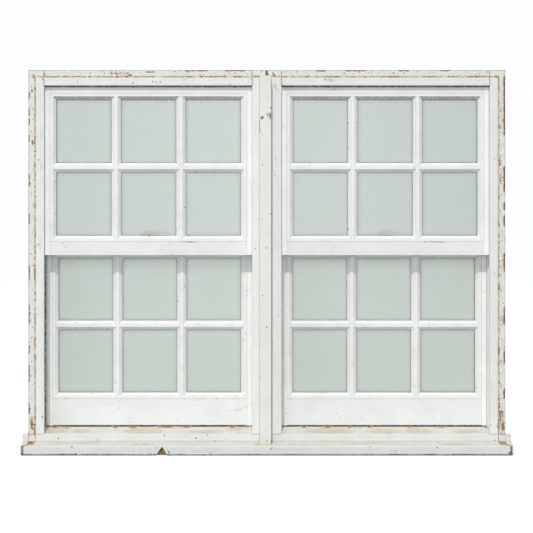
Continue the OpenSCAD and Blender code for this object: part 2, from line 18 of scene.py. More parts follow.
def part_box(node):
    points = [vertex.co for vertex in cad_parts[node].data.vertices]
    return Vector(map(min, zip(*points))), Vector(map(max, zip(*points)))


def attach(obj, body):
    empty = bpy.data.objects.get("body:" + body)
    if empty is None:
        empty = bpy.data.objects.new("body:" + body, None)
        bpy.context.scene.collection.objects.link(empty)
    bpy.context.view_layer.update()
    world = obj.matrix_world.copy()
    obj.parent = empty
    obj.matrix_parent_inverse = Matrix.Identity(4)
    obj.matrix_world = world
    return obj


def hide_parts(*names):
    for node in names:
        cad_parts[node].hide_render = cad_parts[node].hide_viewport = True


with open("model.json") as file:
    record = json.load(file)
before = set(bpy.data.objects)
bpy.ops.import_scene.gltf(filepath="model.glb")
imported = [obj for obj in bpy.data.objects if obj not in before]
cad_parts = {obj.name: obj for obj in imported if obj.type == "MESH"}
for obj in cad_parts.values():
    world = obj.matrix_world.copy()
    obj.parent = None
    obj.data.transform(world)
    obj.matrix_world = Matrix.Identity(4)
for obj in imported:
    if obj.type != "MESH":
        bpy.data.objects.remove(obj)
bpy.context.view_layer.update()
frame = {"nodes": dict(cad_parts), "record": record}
nodes = frame["nodes"]
node_body = {name: body for body, names in frame["record"]["behaviour"]["bodies"].items()
    for name in names}

# %% [markdown]
# A few lines of the frame help to place wear. They are read from the boxes of its pieces, all but the
# width of the band that the lost casing covered. The first ones are in metres, as the model is, and
# the last three are in millimetres, as the marks further down are.

# %% Lines of the frame that wear refers to
MM = 1000  # millimetres in a metre
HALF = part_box("right_jamb")[1].x
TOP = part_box("right_jamb")[1].z
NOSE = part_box("sill")[0].y
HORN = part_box("sill")[1].x
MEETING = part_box("right_sash_lock_base")[0].z
STOP_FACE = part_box("left_parting_stops")[0].y
BAND = 0.0202  # width of the band that the casing covered
UNDER_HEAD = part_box("left_head_lining")[0].z * MM
LOWER_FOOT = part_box("lower_left_sash_bottom_rail")[0].z * MM
SEAMS = (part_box("right_lining")[0].x * MM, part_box("right_mullion_lining")[1].x * MM)
print("half width", round(HALF, 4), "top", round(TOP, 4), "nose", round(NOSE, 4))
print("meeting rails at", round(MEETING, 4), "underside of the head at", round(UNDER_HEAD, 1), "mm")

# %% [markdown]
# ## Camera, lights and floor
# A long lens from the front keeps the bars parallel. One small sun gives the fine dark lines under
# each ledge, a pale sky fills the rest, a wide lamp at the left lifts the sides that face it, and
# another in front softens the shadows. The floor and the sky are white, as in a picture for a
# catalogue. A photographer lights glass apart from its frame, so a large card in front lights only
# the panes, and the sun leaves them out.

# %% Camera
camera = bpy.data.objects.new("camera", bpy.data.cameras.new("camera"))
bpy.context.scene.collection.objects.link(camera)
camera.location = (-0.001, -4.4862, 0.5593)
camera.rotation_euler = (math.radians(90), 0, 0)
camera.data.lens = 101.3
bpy.context.scene.camera = camera
bpy.context.scene.view_settings.view_transform = "Standard"
print("camera at", tuple(camera.location))

# %% [markdown]
# Every node tree in this lesson is written with one helper. It adds a node, sets its settings, and
# fills or links its sockets. Colours are written as they look on a screen and turned to linear light.

# %% Helpers for node trees and colours
def add_node(tree, kind, sockets=None, **settings):
    made = tree.nodes.new(kind)
    for name, value in settings.items():
        setattr(made, name, value)
    for key, value in (sockets or {}).items():
        if isinstance(value, bpy.types.NodeSocket):
            tree.links.new(value, made.inputs[key])
        elif isinstance(value, bpy.types.Node):
            tree.links.new(value.outputs[0], made.inputs[key])
        else:
            made.inputs[key].default_value = value
    return made


def colour(code):
    parts = [int(code[i:i + 2], 16) / 255 for i in (1, 3, 5)]
    return [p / 12.92 if p <= 0.04045 else ((p + 0.055) / 1.055) ** 2.4 for p in parts] + [1.0]


print("paint white is", [round(c, 3) for c in colour("#eff0ed")])

# %% Sky, sun, lamps and floor
world = bpy.data.worlds.new("studio")
bpy.context.scene.world = world
world.use_nodes = True
tree = world.node_tree
tree.nodes.clear()
# the camera sees the sky nearly white, and the window is lit by one that is darker below the horizon
seen = add_node(tree, "ShaderNodeLightPath").outputs["Is Camera Ray"]
toward = add_node(tree, "ShaderNodeTexCoord").outputs["Generated"]
height = add_node(tree, "ShaderNodeSeparateXYZ", {0: toward}).outputs["Z"]
glow = add_node(tree, "ShaderNodeMapRange", {"Value": height, 1: -0.2, 2: 0.2, 3: 0.32, 4: 0.56})
strength = add_node(tree, "ShaderNodeMix", {0: seen, 2: glow, 3: 1.0})
sky = add_node(tree, "ShaderNodeBackground", {"Color": (0.985, 0.995, 1.0, 1.0), "Strength": strength})
add_node(tree, "ShaderNodeOutputWorld", {"Surface": sky})

sun = bpy.data.objects.new("sun", bpy.data.lights.new("sun", "SUN"))
sun.data.energy = 1.5
sun.data.angle = math.radians(1.2)
sun.rotation_euler = (math.radians(44), 0, math.radians(-9))


def soft_lamp(name, watts, size, place):
    lamp = bpy.data.objects.new(name, bpy.data.lights.new(name, "AREA"))
    lamp.data.energy, lamp.data.size = watts, size
    lamp.location = place
    lamp.rotation_euler = (Vector((0, 0, 0.6)) - lamp.location).to_track_quat("-Z", "Y").to_euler()
    lamp.visible_camera = False
    return lamp


side_lamp = soft_lamp("side_lamp", 24, 2.5, (-4.2, -2.6, 1.4))
fill_lamp = soft_lamp("fill_lamp", 38, 2.5, (0.0, -5.2, 0.9))
pane_card = soft_lamp("pane_card", 185, 4.4, (-0.8, -8.0, 4.6))
for light in (sun, side_lamp, fill_lamp, pane_card):
    bpy.context.scene.collection.objects.link(light)

FAR, LOW = 40, -0.001  # the floor's reach, and its place a millimetre under the window
corners = [(-FAR, -FAR, LOW), (FAR, -FAR, LOW), (FAR, FAR, LOW), (-FAR, FAR, LOW)]
floor_mesh = bpy.data.meshes.new("floor")
floor_mesh.from_pydata(corners, [], [(0, 1, 2, 3)])
floor = bpy.data.objects.new("floor", floor_mesh)
bpy.context.scene.collection.objects.link(floor)
floor_paint = bpy.data.materials.new("pale_studio_floor")
floor_paint.use_nodes = True
floor_shader = floor_paint.node_tree.nodes["Principled BSDF"]
floor_shader.inputs["Base Color"].default_value = (0.6, 0.6, 0.6, 1.0)
floor_shader.inputs["Roughness"].default_value = 0.9
floor_shader.inputs["Emission Color"].default_value = (1.0, 1.0, 1.0, 1.0)
floor_shader.inputs["Emission Strength"].default_value = 0.5
floor.visible_diffuse = False
floor.data.materials.append(floor_paint)
print("lights:", sun.name, side_lamp.name, fill_lamp.name, pane_card.name)

# %% [markdown]
# ## Old oil paint on softwood
# The window has been painted many times by brush. The eye sees a warm white that is a little greyer
# in patches, fine strokes along each board, hairline cracks where the wood has moved, dark pin spots,
# and dirt wherever two boards meet, with painted shade there too: the material darkens whatever lies
# close to another surface. Where paint has gone, grey-brown wood shows.
# The strokes follow the board, so there is one material for upright boards, one for level boards and
# one for the small mouldings. A board can carry three attributes, set point by point later on:
# "bare" where paint has gone, "stain" where old caulk has turned it cream, and "dirt_and_shade" for
# soot and for painted shade.

# %% Paint on wood
def weathered_paint(name, fibres, wear=0.35, arris=0.45, white="#eff0ed", patch="#e9eae7", spots=0.8,
        lines=0.34, cracks=0.5, joint_dirt_and_shade=0.85):
    """Brushed white oil paint. fibres is the stretch of the pattern along x, y and z."""
    material = bpy.data.materials.new(name)
    material.use_nodes = True
    tree = material.node_tree
    tree.nodes.clear()
    place = add_node(tree, "ShaderNodeTexCoord").outputs["Object"]
    along = add_node(tree, "ShaderNodeMapping", {"Vector": place, "Scale": fibres})

    # strokes of a bristle brush are about 0.8 mm apart, and drawn 1.4 mm apart to show
    strokes = add_node(tree, "ShaderNodeTexNoise", {"Vector": along, "Scale": 700.0, "Detail": 3.0})
    grain = add_node(tree, "ShaderNodeTexNoise", {"Vector": along, "Scale": 380.0, "Detail": 4.0,
        "Distortion": 0.4})
    patches = add_node(tree, "ShaderNodeTexNoise", {"Vector": place, "Scale": 14.0, "Detail": 5.0})
    flake = add_node(tree, "ShaderNodeMapping", {"Vector": place, "Scale": [max(f, 0.3) for f in fibres]})
    ragged = add_node(tree, "ShaderNodeTexNoise", {"Vector": flake, "Scale": 340.0, "Detail": 4.0,
        "Roughness": 0.7})

    patchy = add_node(tree, "ShaderNodeMapRange", {"Value": patches, 1: 0.35, 2: 0.7})
    base = add_node(tree, "ShaderNodeMix", {0: patchy, 6: colour(white), 7: colour(patch)},
        data_type="RGBA")
    lined = add_node(tree, "ShaderNodeMapRange", {"Value": grain, 1: 0.55, 2: 0.75, 3: 0.0, 4: lines})
    base = add_node(tree, "ShaderNodeMix", {0: lined, 6: base.outputs[2], 7: colour("#cfcfc8")},
        data_type="RGBA")

    # cream: yellowed oil and washed-down dirt where the stain attribute says so
    stain = add_node(tree, "ShaderNodeAttribute", attribute_name="stain").outputs["Fac"]
    uneven = add_node(tree, "ShaderNodeMapRange", {"Value": ragged, 1: 0.3, 2: 0.62, 3: 0.25, 4: 1.25})
    stained = add_node(tree, "ShaderNodeMath", {0: stain, 1: uneven}, operation="MULTIPLY",
        use_clamp=True)
    base = add_node(tree, "ShaderNodeMix", {0: stained, 6: base.outputs[2], 7: colour("#cdbfa5")},
        data_type="RGBA")

    # painted shade and dirt in the joints: what lies close to another surface is painted darker
    corner = add_node(tree, "ShaderNodeAmbientOcclusion", {"Distance": 0.004}, samples=6)
    dirt_and_shade_in_joints = add_node(tree, "ShaderNodeMapRange", {"Value": corner.outputs["AO"], 1: 0.79, 2: 0.42, 3: 0.0,
        4: joint_dirt_and_shade})
    base = add_node(tree, "ShaderNodeMix", {0: dirt_and_shade_in_joints, 6: base.outputs[2], 7: colour("#746d60")},
        data_type="RGBA")

    # pin spots of 0.5 to 3 mm with ragged rims, in one cell of eight
    cells = add_node(tree, "ShaderNodeTexVoronoi", {"Vector": place, "Scale": 85.0})
    pick = add_node(tree, "ShaderNodeSeparateColor", {0: cells.outputs["Color"]})
    reach = add_node(tree, "ShaderNodeMapRange", {"Value": pick.outputs["Green"], 3: -0.02, 4: 0.12})
    reach = add_node(tree, "ShaderNodeMath", {0: ragged, 1: 0.16, 2: reach}, operation="MULTIPLY_ADD")
    dot = add_node(tree, "ShaderNodeMath", {0: cells.outputs["Distance"], 1: reach},
        operation="LESS_THAN")
    chosen = add_node(tree, "ShaderNodeMath", {0: pick, 1: 0.88}, operation="GREATER_THAN")
    spot = add_node(tree, "ShaderNodeMath", {0: dot, 1: chosen}, operation="MULTIPLY")
    spot = add_node(tree, "ShaderNodeMath", {0: spot, 1: spots}, operation="MULTIPLY")
    base = add_node(tree, "ShaderNodeMix", {0: spot, 6: base.outputs[2], 7: colour("#5a5044")},
        data_type="RGBA")

    # hairline cracks run with the fibres, in patches
    crazed = add_node(tree, "ShaderNodeTexVoronoi", {"Vector": along, "Scale": 95.0},
        feature="DISTANCE_TO_EDGE")
    thin = add_node(tree, "ShaderNodeMapRange", {"Value": crazed, 1: 0.0, 2: 0.035, 3: 1.0, 4: 0.0})
    where = add_node(tree, "ShaderNodeTexNoise", {"Vector": place, "Scale": 23.0, "Detail": 2.0})
    some = add_node(tree, "ShaderNodeMapRange", {"Value": where, 1: 0.56, 2: 0.66})
    crack = add_node(tree, "ShaderNodeMath", {0: thin, 1: some}, operation="MULTIPLY")
    shown = add_node(tree, "ShaderNodeMath", {0: crack, 1: cracks}, operation="MULTIPLY")
    base = add_node(tree, "ShaderNodeMix", {0: shown, 6: base.outputs[2], 7: colour("#8c8679")},
        data_type="RGBA")

    # worn arrises: the rounded normal leaves the flat one near an edge
    rounded = add_node(tree, "ShaderNodeBevel", {"Radius": 0.0016}, samples=4)
    flat = add_node(tree, "ShaderNodeNewGeometry").outputs["Normal"]
    level = add_node(tree, "ShaderNodeVectorMath", {0: rounded, 1: flat}, operation="DOT_PRODUCT")
    edge = add_node(tree, "ShaderNodeMapRange", {"Value": level.outputs["Value"], 1: 0.97, 2: 0.75,
        3: 0.0, 4: wear})
    bare = add_node(tree, "ShaderNodeAttribute", attribute_name="bare").outputs["Fac"]
    lost = add_node(tree, "ShaderNodeMath", {0: bare, 1: edge}, operation="ADD")
    torn = add_node(tree, "ShaderNodeMath", {0: lost, 1: ragged}, operation="ADD")
    gone = add_node(tree, "ShaderNodeMapRange", {"Value": torn, 1: 0.93, 2: 1.02})
    rim = add_node(tree, "ShaderNodeMapRange", {"Value": torn, 1: 0.84, 2: 0.93, 3: 0.0, 4: 0.55})
    base = add_node(tree, "ShaderNodeMix", {0: rim, 6: base.outputs[2], 7: colour("#c9b89c")},
        data_type="RGBA")
    rubbed = add_node(tree, "ShaderNodeMapRange", {"Value": level.outputs["Value"], 1: 0.985, 2: 0.8,
        3: 0.0, 4: arris})
    rubbed = add_node(tree, "ShaderNodeMath", {0: rubbed, 1: uneven}, operation="MULTIPLY",
        use_clamp=True)
    base = add_node(tree, "ShaderNodeMix", {0: rubbed, 6: base.outputs[2], 7: colour("#93908a")},
        data_type="RGBA")

    # bare wood is grey-brown, and still orange where its paint went only lately
    years = add_node(tree, "ShaderNodeTexNoise", {"Vector": along, "Scale": 520.0, "Detail": 4.0})
    wood = add_node(tree, "ShaderNodeValToRGB", {"Fac": years})
    dark, pale = wood.color_ramp.elements
    dark.position, pale.position = 0.36, 0.66
    dark.color, pale.color = colour("#5d4a39"), colour("#b08f6d")
    fresh = add_node(tree, "ShaderNodeMath", {0: stain, 1: 0.5}, operation="MULTIPLY", use_clamp=True)
    bared = add_node(tree, "ShaderNodeMix", {0: fresh, 6: wood.outputs["Color"], 7: colour("#b48250")},
        data_type="RGBA")
    base = add_node(tree, "ShaderNodeMix", {0: gone, 6: base.outputs[2], 7: bared.outputs[2]},
        data_type="RGBA")

    # soot, mud and painted shade where the dirt_and_shade attribute says so
    dirt_and_shade = add_node(tree, "ShaderNodeAttribute", attribute_name="dirt_and_shade").outputs["Fac"]
    soot_and_shade = add_node(tree, "ShaderNodeMath", {0: dirt_and_shade, 1: uneven}, operation="MULTIPLY", use_clamp=True)
    base = add_node(tree, "ShaderNodeMix", {0: soot_and_shade, 6: base.outputs[2], 7: colour("#3f382f")},
        data_type="RGBA")

    # height in layers: fibres, strokes, cracks and the step down to bare wood
    low = add_node(tree, "ShaderNodeMath", {0: grain, 1: strokes, 2: 0.5}, operation="MULTIPLY_ADD")
    low = add_node(tree, "ShaderNodeMath", {0: crack, 1: -0.8, 2: low}, operation="MULTIPLY_ADD")
    high = add_node(tree, "ShaderNodeMath", {0: gone, 1: -1.6, 2: low}, operation="MULTIPLY_ADD")
    bump = add_node(tree, "ShaderNodeBump", {"Height": high, "Strength": 0.55, "Distance": 0.00035})
    shine = add_node(tree, "ShaderNodeMapRange", {"Value": patches, 3: 0.46, 4: 0.62})
    dull = add_node(tree, "ShaderNodeMix", {0: gone, 2: shine, 3: 0.85})
    shader = add_node(tree, "ShaderNodeBsdfPrincipled", {"Base Color": base.outputs[2], "Roughness": dull,
        "Normal": bump, "IOR": 1.48})
    add_node(tree, "ShaderNodeOutputMaterial", {"Surface": shader})
    return material


UPRIGHT, ACROSS = (1.0, 1.0, 0.05), (0.05, 1.0, 1.0)  # fibres run along z, or along x
NEWER = {"lines": 0.16, "cracks": 0.3}  # the sashes were painted last
paint_upright = weathered_paint("oil_paint_on_upright_pine", UPRIGHT)
paint_level = weathered_paint("oil_paint_on_level_pine", ACROSS)
# painted light: the stiles are painted whiter than the rails, though both carry the same paint, to lift
# the shade that falls on them beside the linings
lightened_stile_paint = weathered_paint("newer_oil_paint_on_sash_stiles", UPRIGHT, white="#fbfcfb",
    patch="#f3f5f4", **NEWER)
paint_rail = weathered_paint("newer_oil_paint_on_sash_rails", ACROSS, white="#f1f3f2",
    patch="#ebedec", **NEWER)
paint_moulding = weathered_paint("oil_paint_on_pine_mouldings", (0.4, 1.0, 0.4), wear=0.3, arris=0.2,
    spots=0.9, white="#f7f8f7", patch="#eff0ef", **NEWER)
paint_sill = weathered_paint("worn_oil_paint_on_oak_sill", ACROSS, wear=0.4, white="#e4e6e5",
    patch="#dee0de", spots=0.9)
print("paints:", paint_upright.name, paint_level.name, lightened_stile_paint.name, paint_rail.name)
print("and", paint_moulding.name, paint_sill.name)

# %% [markdown]
# ## Glass, brass and steel
# The panes are old and hazy with a grey-green cast. Haze scatters light like milk does, so each face of
# a pane lets a third of the light through, and the two together let the locks behind the upper
# panes show only faintly. The locks are unlacquered brass with brown tarnish, and the balances are
# zinc-plated steel.

# %% Glass and metals
def plain_shader(name, **sockets):
    material = bpy.data.materials.new(name)
    material.use_nodes = True
    tree = material.node_tree
    shader = tree.nodes["Principled BSDF"]
    for key, value in sockets.items():
        shader.inputs[key.replace("_", " ")].default_value = value
    return material, tree, shader


glass, tree, shader = plain_shader("hazy_drawn_sheet_glass", Roughness=0.28, IOR=1.52, Alpha=0.68)
place = add_node(tree, "ShaderNodeTexCoord").outputs["Object"]
# drawn glass is wavy over 40 to 80 mm, and rain leaves a film of fine dust
waves = add_node(tree, "ShaderNodeTexNoise", {"Vector": place, "Scale": 16.0, "Detail": 1.0})
film = add_node(tree, "ShaderNodeTexNoise", {"Vector": place, "Scale": 60.0, "Detail": 6.0,
    "Roughness": 0.6})
haze = add_node(tree, "ShaderNodeMapRange", {"Value": film, 1: 0.3, 2: 0.75})
tint = add_node(tree, "ShaderNodeMix", {0: haze, 6: colour("#d9e5dd"), 7: colour("#d5e2d9")},
    data_type="RGBA")
# painted shade: the glass is painted darker near the beads, within about 16 mm, where their shade falls
near_bead = add_node(tree, "ShaderNodeAmbientOcclusion", {"Distance": 0.016}, samples=6)
painted_bead_shade = add_node(tree, "ShaderNodeMapRange", {"Value": near_bead.outputs["AO"], 1: 0.96, 2: 0.45,
    3: 0.0, 4: 1.5})
tint = add_node(tree, "ShaderNodeMix", {0: painted_bead_shade, 6: tint.outputs[2], 7: colour("#87928a")},
    data_type="RGBA")
# and a dark painted shadow line right where the glass meets them
at_bead = add_node(tree, "ShaderNodeAmbientOcclusion", {"Distance": 0.004}, samples=6)
painted_contact_shade = add_node(tree, "ShaderNodeMapRange", {"Value": at_bead.outputs["AO"], 1: 0.95, 2: 0.74,
    3: 0.0, 4: 1.0})
tint = add_node(tree, "ShaderNodeMix", {0: painted_contact_shade, 6: tint.outputs[2], 7: colour("#4a4c44")},
    data_type="RGBA")
ripple = add_node(tree, "ShaderNodeBump", {"Height": waves, "Strength": 0.12, "Distance": 0.001})
tree.links.new(tint.outputs[2], shader.inputs["Base Color"])
tree.links.new(ripple.outputs[0], shader.inputs["Normal"])


def worn_metal(name, clean, tarnish, fine, coarse, smooth, matt):
    """Metal with a film of tarnish in patches, and fine scratches."""
    material, tree, shader = plain_shader(name, Metallic=1.0)
    place = add_node(tree, "ShaderNodeTexCoord").outputs["Object"]
    cloud = add_node(tree, "ShaderNodeTexNoise", {"Vector": place, "Scale": coarse, "Detail": 6.0})
    share = add_node(tree, "ShaderNodeMapRange", {"Value": cloud, 1: 0.4, 2: 0.68})
    tone = add_node(tree, "ShaderNodeMix", {0: share, 6: colour(clean), 7: colour(tarnish)},
        data_type="RGBA")
    scratches = add_node(tree, "ShaderNodeTexNoise", {"Vector": place, "Scale": fine, "Detail": 3.0})
    gloss = add_node(tree, "ShaderNodeMapRange", {"Value": cloud, 3: smooth, 4: matt})
    bump = add_node(tree, "ShaderNodeBump", {"Height": scratches, "Strength": 0.25, "Distance": 0.0001})
    tree.links.new(tone.outputs[2], shader.inputs["Base Color"])
    tree.links.new(gloss.outputs[0], shader.inputs["Roughness"])
    tree.links.new(bump.outputs[0], shader.inputs["Normal"])
    return material


brass = worn_metal("tarnished_cast_brass", "#c79f4f", "#7a5c2c", 900.0, 160.0, 0.28, 0.6)
steel = worn_metal("zinc_plated_steel", "#b4b6b8", "#86888a", 1400.0, 90.0, 0.3, 0.55)
rust = worn_metal("rusted_iron_nails", "#6b4632", "#3d2a20", 1500.0, 900.0, 0.7, 0.9)
print("glass, brass, steel and rust are ready")

# %% [markdown]
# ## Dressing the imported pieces
# A sharp computer edge never catches light, but a planed and painted arris does. Each packed wooden
# piece therefore gets three modifiers: Weld joins its loose triangles, Decimate melts the flat
# ones together, and Bevel rounds the arrises by 0.6 mm. The locks are cast finer and get 0.4 mm.
# The stored meshes stay as they are. On a board with many slots the melted faces can fold over
# themselves, so that is measured, and such a board goes without the step that folds it.

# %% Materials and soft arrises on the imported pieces
WOOD_ARRIS, CAST_ARRIS = 0.0006, 0.0004
FOLDED_AT_MOST = 0.000002  # two square millimetres, which no one sees


def paint_for(name):
    if name.endswith(("muntins", "beads")):
        return paint_moulding
    if name.endswith("stile"):
        return lightened_stile_paint
    if name.endswith("rail"):
        return paint_rail
    if name.endswith(("head_jamb", "head_lining")):
        return paint_level
    return paint_sill if name == "sill" else paint_upright


def folded_area(piece):
    """Area of the triangles that face another way than their face does, in square metres."""
    graph = bpy.context.evaluated_depsgraph_get()
    mesh = bpy.data.meshes.new_from_object(piece.evaluated_get(graph))
    mesh.calc_loop_triangles()
    total = 0.0
    for triangle in mesh.loop_triangles:
        a, b, c = [mesh.vertices[i].co for i in triangle.vertices]
        across = (b - a).cross(c - a)
        facing = mesh.polygons[triangle.polygon_index].normal
        if across.length > 1e-12 and across.normalized().dot(facing) < 0.9:
            total += across.length / 2
    bpy.data.meshes.remove(mesh)
    return total


def soften(piece, radius):
    weld = piece.modifiers.new("weld", "WELD")
    weld.merge_threshold = 0.00001
    melt = piece.modifiers.new("melt", "DECIMATE")
    melt.decimate_type = "DISSOLVE"
    melt.angle_limit = math.radians(0.5)
    bevel = piece.modifiers.new("arris", "BEVEL")
    bevel.width = radius
    bevel.segments = 2
    bevel.limit_method = "ANGLE"
    bevel.angle_limit = math.radians(25)
    bevel.harden_normals = False
    for step in (melt, bevel):
        if folded_area(piece) < FOLDED_AT_MOST:
            return
        print(piece.name, "goes without the step", step.name)
        piece.modifiers.remove(step)


def wear_material(piece, material):
    piece.data.materials.clear()
    piece.data.materials.append(material)


out_of_sun = bpy.data.collections.new("panes_out_of_the_sun")
in_card_light = bpy.data.collections.new("panes_in_the_card_light")
sun.light_linking.receiver_collection = out_of_sun
pane_card.light_linking.receiver_collection = in_card_light
for name, piece in nodes.items():
    if name.endswith("panes"):
        wear_material(piece, glass)
        out_of_sun.objects.link(piece)
        in_card_light.objects.link(piece)
    elif "sash_lock" in name:
        wear_material(piece, brass)
        soften(piece, CAST_ARRIS)
    elif "balance" in name:
        wear_material(piece, steel)
    else:
        wear_material(piece, paint_for(name))
        soften(piece, WOOD_ARRIS)
for linked in out_of_sun.collection_objects:
    linked.light_linking.link_state = "EXCLUDE"
print("dressed", len(nodes), "pieces")

# %% [markdown]
# ## Boards with chips and stains
# Weathering is not the same everywhere. Paint flakes first along the outer arrises and where the
# casing was pulled off, and rain leaves cream and brown on the sill. Painting that by hand would
# take many masks, so the boards concerned are sliced into a grid of small faces, and each point
# gets three numbers from its place: how bare it is, how stained, and how dark with dirt and painted
# shade. The material then breaks their outlines up with fine noise. Bare points are also pushed in
# by the paint's thickness.

# %% Slice a packed board into small faces
def cuts(low, high, step):
    return list(np.arange(low + step, high - step / 2, step))


def sliced_copy(name, slices):
    graph = bpy.context.evaluated_depsgraph_get()
    mesh = bpy.data.meshes.new_from_object(nodes[name].evaluated_get(graph))
    work = bmesh.new()
    work.from_mesh(mesh)
    for axis, values in enumerate(slices):
        normal = Vector([float(axis == i) for i in range(3)])
        for value in values:
            parts = work.verts[:] + work.edges[:] + work.faces[:]
            bmesh.ops.bisect_plane(work, geom=parts, plane_co=normal * value, plane_no=normal)
    bmesh.ops.triangulate(work, faces=[face for face in work.faces if len(face.verts) > 4])
    work.to_mesh(mesh)
    work.free()
    board = bpy.data.objects.new("weathered_" + name, mesh)
    bpy.context.scene.collection.objects.link(board)
    return board


def blotch(across, along, middle_a, middle_b, radius_a, radius_b, most):
    """A soft oval mark: its most at the middle, nothing past its two radii."""
    inside = 1 - ((across - middle_a) / radius_a) ** 2 - ((along - middle_b) / radius_b) ** 2
    return most * math.sqrt(inside) if inside > 0 else 0.0


def scratch(across, along, start, end, half, most):
    """A thin straight mark between two points."""
    start, end, here = Vector(start), Vector(end), Vector((across, along))
    share = max(0.0, min(1.0, (here - start).dot(end - start) / (end - start).length_squared))
    return most * max(0.0, 1 - (here - start.lerp(end, share)).length / half)


def rough(seed, *place):
    """Smooth noise from 0 to 1 at a place given by two numbers."""
    return 0.5 + 0.5 * noise.noise(Vector((*place, seed * 7.3)))


print("a board is sliced every few millimetres")

# %% [markdown]
# The outer band of the linings is the worst part: long chips on both outer arrises, most at the
# right, flakes on the top edge, nail marks and a brown line where the caulk ended. All measures
# below are millimetres from the joint of the two units, and up from the underside of the sill.

# %% Where the linings and the cover have lost their paint
# a chip is a run along its edge: from, to
RIGHT_CHIPS = [(985, 1126), (953, 980), (785, 857), (731, 749), (683, 710), (546, 597), (390, 435),
    (271, 306), (166, 193)]
LEFT_CHIPS = [(1062, 1078), (1012, 1030), (984, 1000), (936, 950), (800, 834), (690, 716), (520, 560),
    (390, 444), (300, 322), (214, 262), (120, 150)]
TOP_CHIPS = [(-242, -215), (-206, -179), (-122, -65), (147, 174), (237, 294), (398, 425), (520, 545)]
# a flake is an oval: its middle across and up, its two radii, and how bare it is
TOP_FLAKES = [(-440, 1137, 60, 9, 0.44), (-410, 1131, 14, 4, 0.6), (-350, 1141, 20, 4, 0.56),
    (-150, 1127, 110, 3, 0.46), (-600, 1127, 90, 3, 0.44), (380, 1127, 38, 3, 0.56),
    (640, 1127, 45, 4, 0.54), (560, 1127, 25, 3, 0.46), (215, 1127, 20, 3, 0.44),
    (20, 1134, 6, 9, 0.56), (0, 1137, 5, 14, 0.95), (-698, 1128, 12, 9, 0.5),
    (688, 1128, 12, 8, 0.52)]
SIDE_FLAKES = [(-694, 540, 4, 42, 0.6), (-694, 330, 4, 30, 0.5), (-695, 860, 3, 20, 0.44),
    (-702, 1085, 5, 10, 0.56), (-701, 930, 6, 12, 0.56), (-703, 90, 9, 30, 0.54), (-695, 70, 5, 24, 0.56),
    (699, 1030, 5, 20, 0.46), (698, 980, 5, 22, 0.46), (698, 870, 6, 24, 0.5), (699, 820, 5, 22, 0.52),
    (694, 305, 5, 12, 0.5), (699, 205, 4, 14, 0.46), (700, 110, 12, 46, 0.5), (706, 80, 8, 24, 0.6),
    (693, 84, 6, 20, 0.54)]


def near_runs(value, runs):
    """1 inside a run, falling to 0 over 5 mm past its ends."""
    return max(max(0.0, 1 - max(a - value, value - b, 0) / 5) for a, b in runs)


def lining_wear(p, normal):
    x, z = p.x * MM, p.z * MM
    side, top = HALF * MM - abs(x), TOP * MM - z
    band = min(side, top)
    chips = near_runs(z, RIGHT_CHIPS if x > 0 else LEFT_CHIPS)
    bare = (0.62 * chips + 0.3 * rough(1, z / 9, x / 9)) * min(1, max(0, 1.5 - side / 5))
    edge = 0.56 * near_runs(x, TOP_CHIPS) + 0.34 * rough(2, x / 9, 0.5)
    bare = max(bare, edge * min(1, max(0, 1.5 - top / 5)))
    for mark in TOP_FLAKES + SIDE_FLAKES:
        bare = max(bare, blotch(x, z, *mark))
    line = max(0, 1 - abs(band - BAND * MM) / 4)
    stain = line * (0.5 + 0.9 * rough(3, x / 30, z / 30))
    dirt_and_shade = max(0.6 * max(0, 1 - band / 3), 0.4 * line * rough(11, x / 14, z / 14))
    if line > 0.4 and rough(18, x / 6, z / 6) > 0.61:
        bare, dirt_and_shade = max(bare, 0.64), max(dirt_and_shade, 0.3)
    if x > 0 and band < 6:
        dirt_and_shade = max(dirt_and_shade, 0.9 * chips * rough(15, x / 9, z / 12))
    seam = min(abs(abs(x) - inner_edge) for inner_edge in SEAMS)
    if z > UNDER_HEAD:
        dirt_and_shade = max(dirt_and_shade, 0.7 * max(0, 1 - seam / 2.4) * (0.4 + rough(16, x / 9, z / 9)))
    if band < BAND * MM:
        streaks = 1.5 if x > 0 and top > BAND * MM else 0.6
        stain = max(stain, 0.14 + streaks * max(0, rough(4, x / 7, z / 24) - 0.46))
        if rough(12, x / 3.3, z / 3.3) > 0.8:
            bare = max(bare, 0.62)
    return bare, stain, dirt_and_shade


def cover_wear(p, normal):
    x, z = p.x * MM, p.z * MM
    bare = max(blotch(x, z, -14, 1001, 7, 8, 0.66), blotch(x, z, 2, 1010, 6, 12, 0.5),
        blotch(x, z, 10, 1006, 6, 16, 0.54), scratch(x, z, (-20, 992), (-20.5, 958), 3, 0.7),
        scratch(x, z, (-6, 1006), (-12, 998), 2.5, 0.6), blotch(x, z, 4, 760, 3, 3, 0.6))
    low = max(0, 1 - (z - 36) / 30)
    return max(bare, 0.34 * low * rough(5, x / 6, z / 9)), 0.4 * low, 0.0


print("marks on the linings:", len(TOP_FLAKES) + len(SIDE_FLAKES))

# %% [markdown]
# On the sill, rain carries dirt down to the arris under each sash, and the casing has left a
# U-shaped scar round its two feet. The strip at the foot of the sashes is darkened with dirt and
# painted shade, and the foot of the nose with painted shade. The broken wedge in the nose shows raw wood.

# %% Where the sill is stained, bare and painted with shade
# a bare patch under a sash: its middle and its radius
UNDER_SASH = [(-640, 16), (-604, 9), (-458, 12), (-405, 22), (-306, 38), (-243, 18), (-104, 15),
    (-57, 10), (112, 14), (186, 18), (252, 13), (311, 12), (430, 11), (527, 14), (664, 10)]
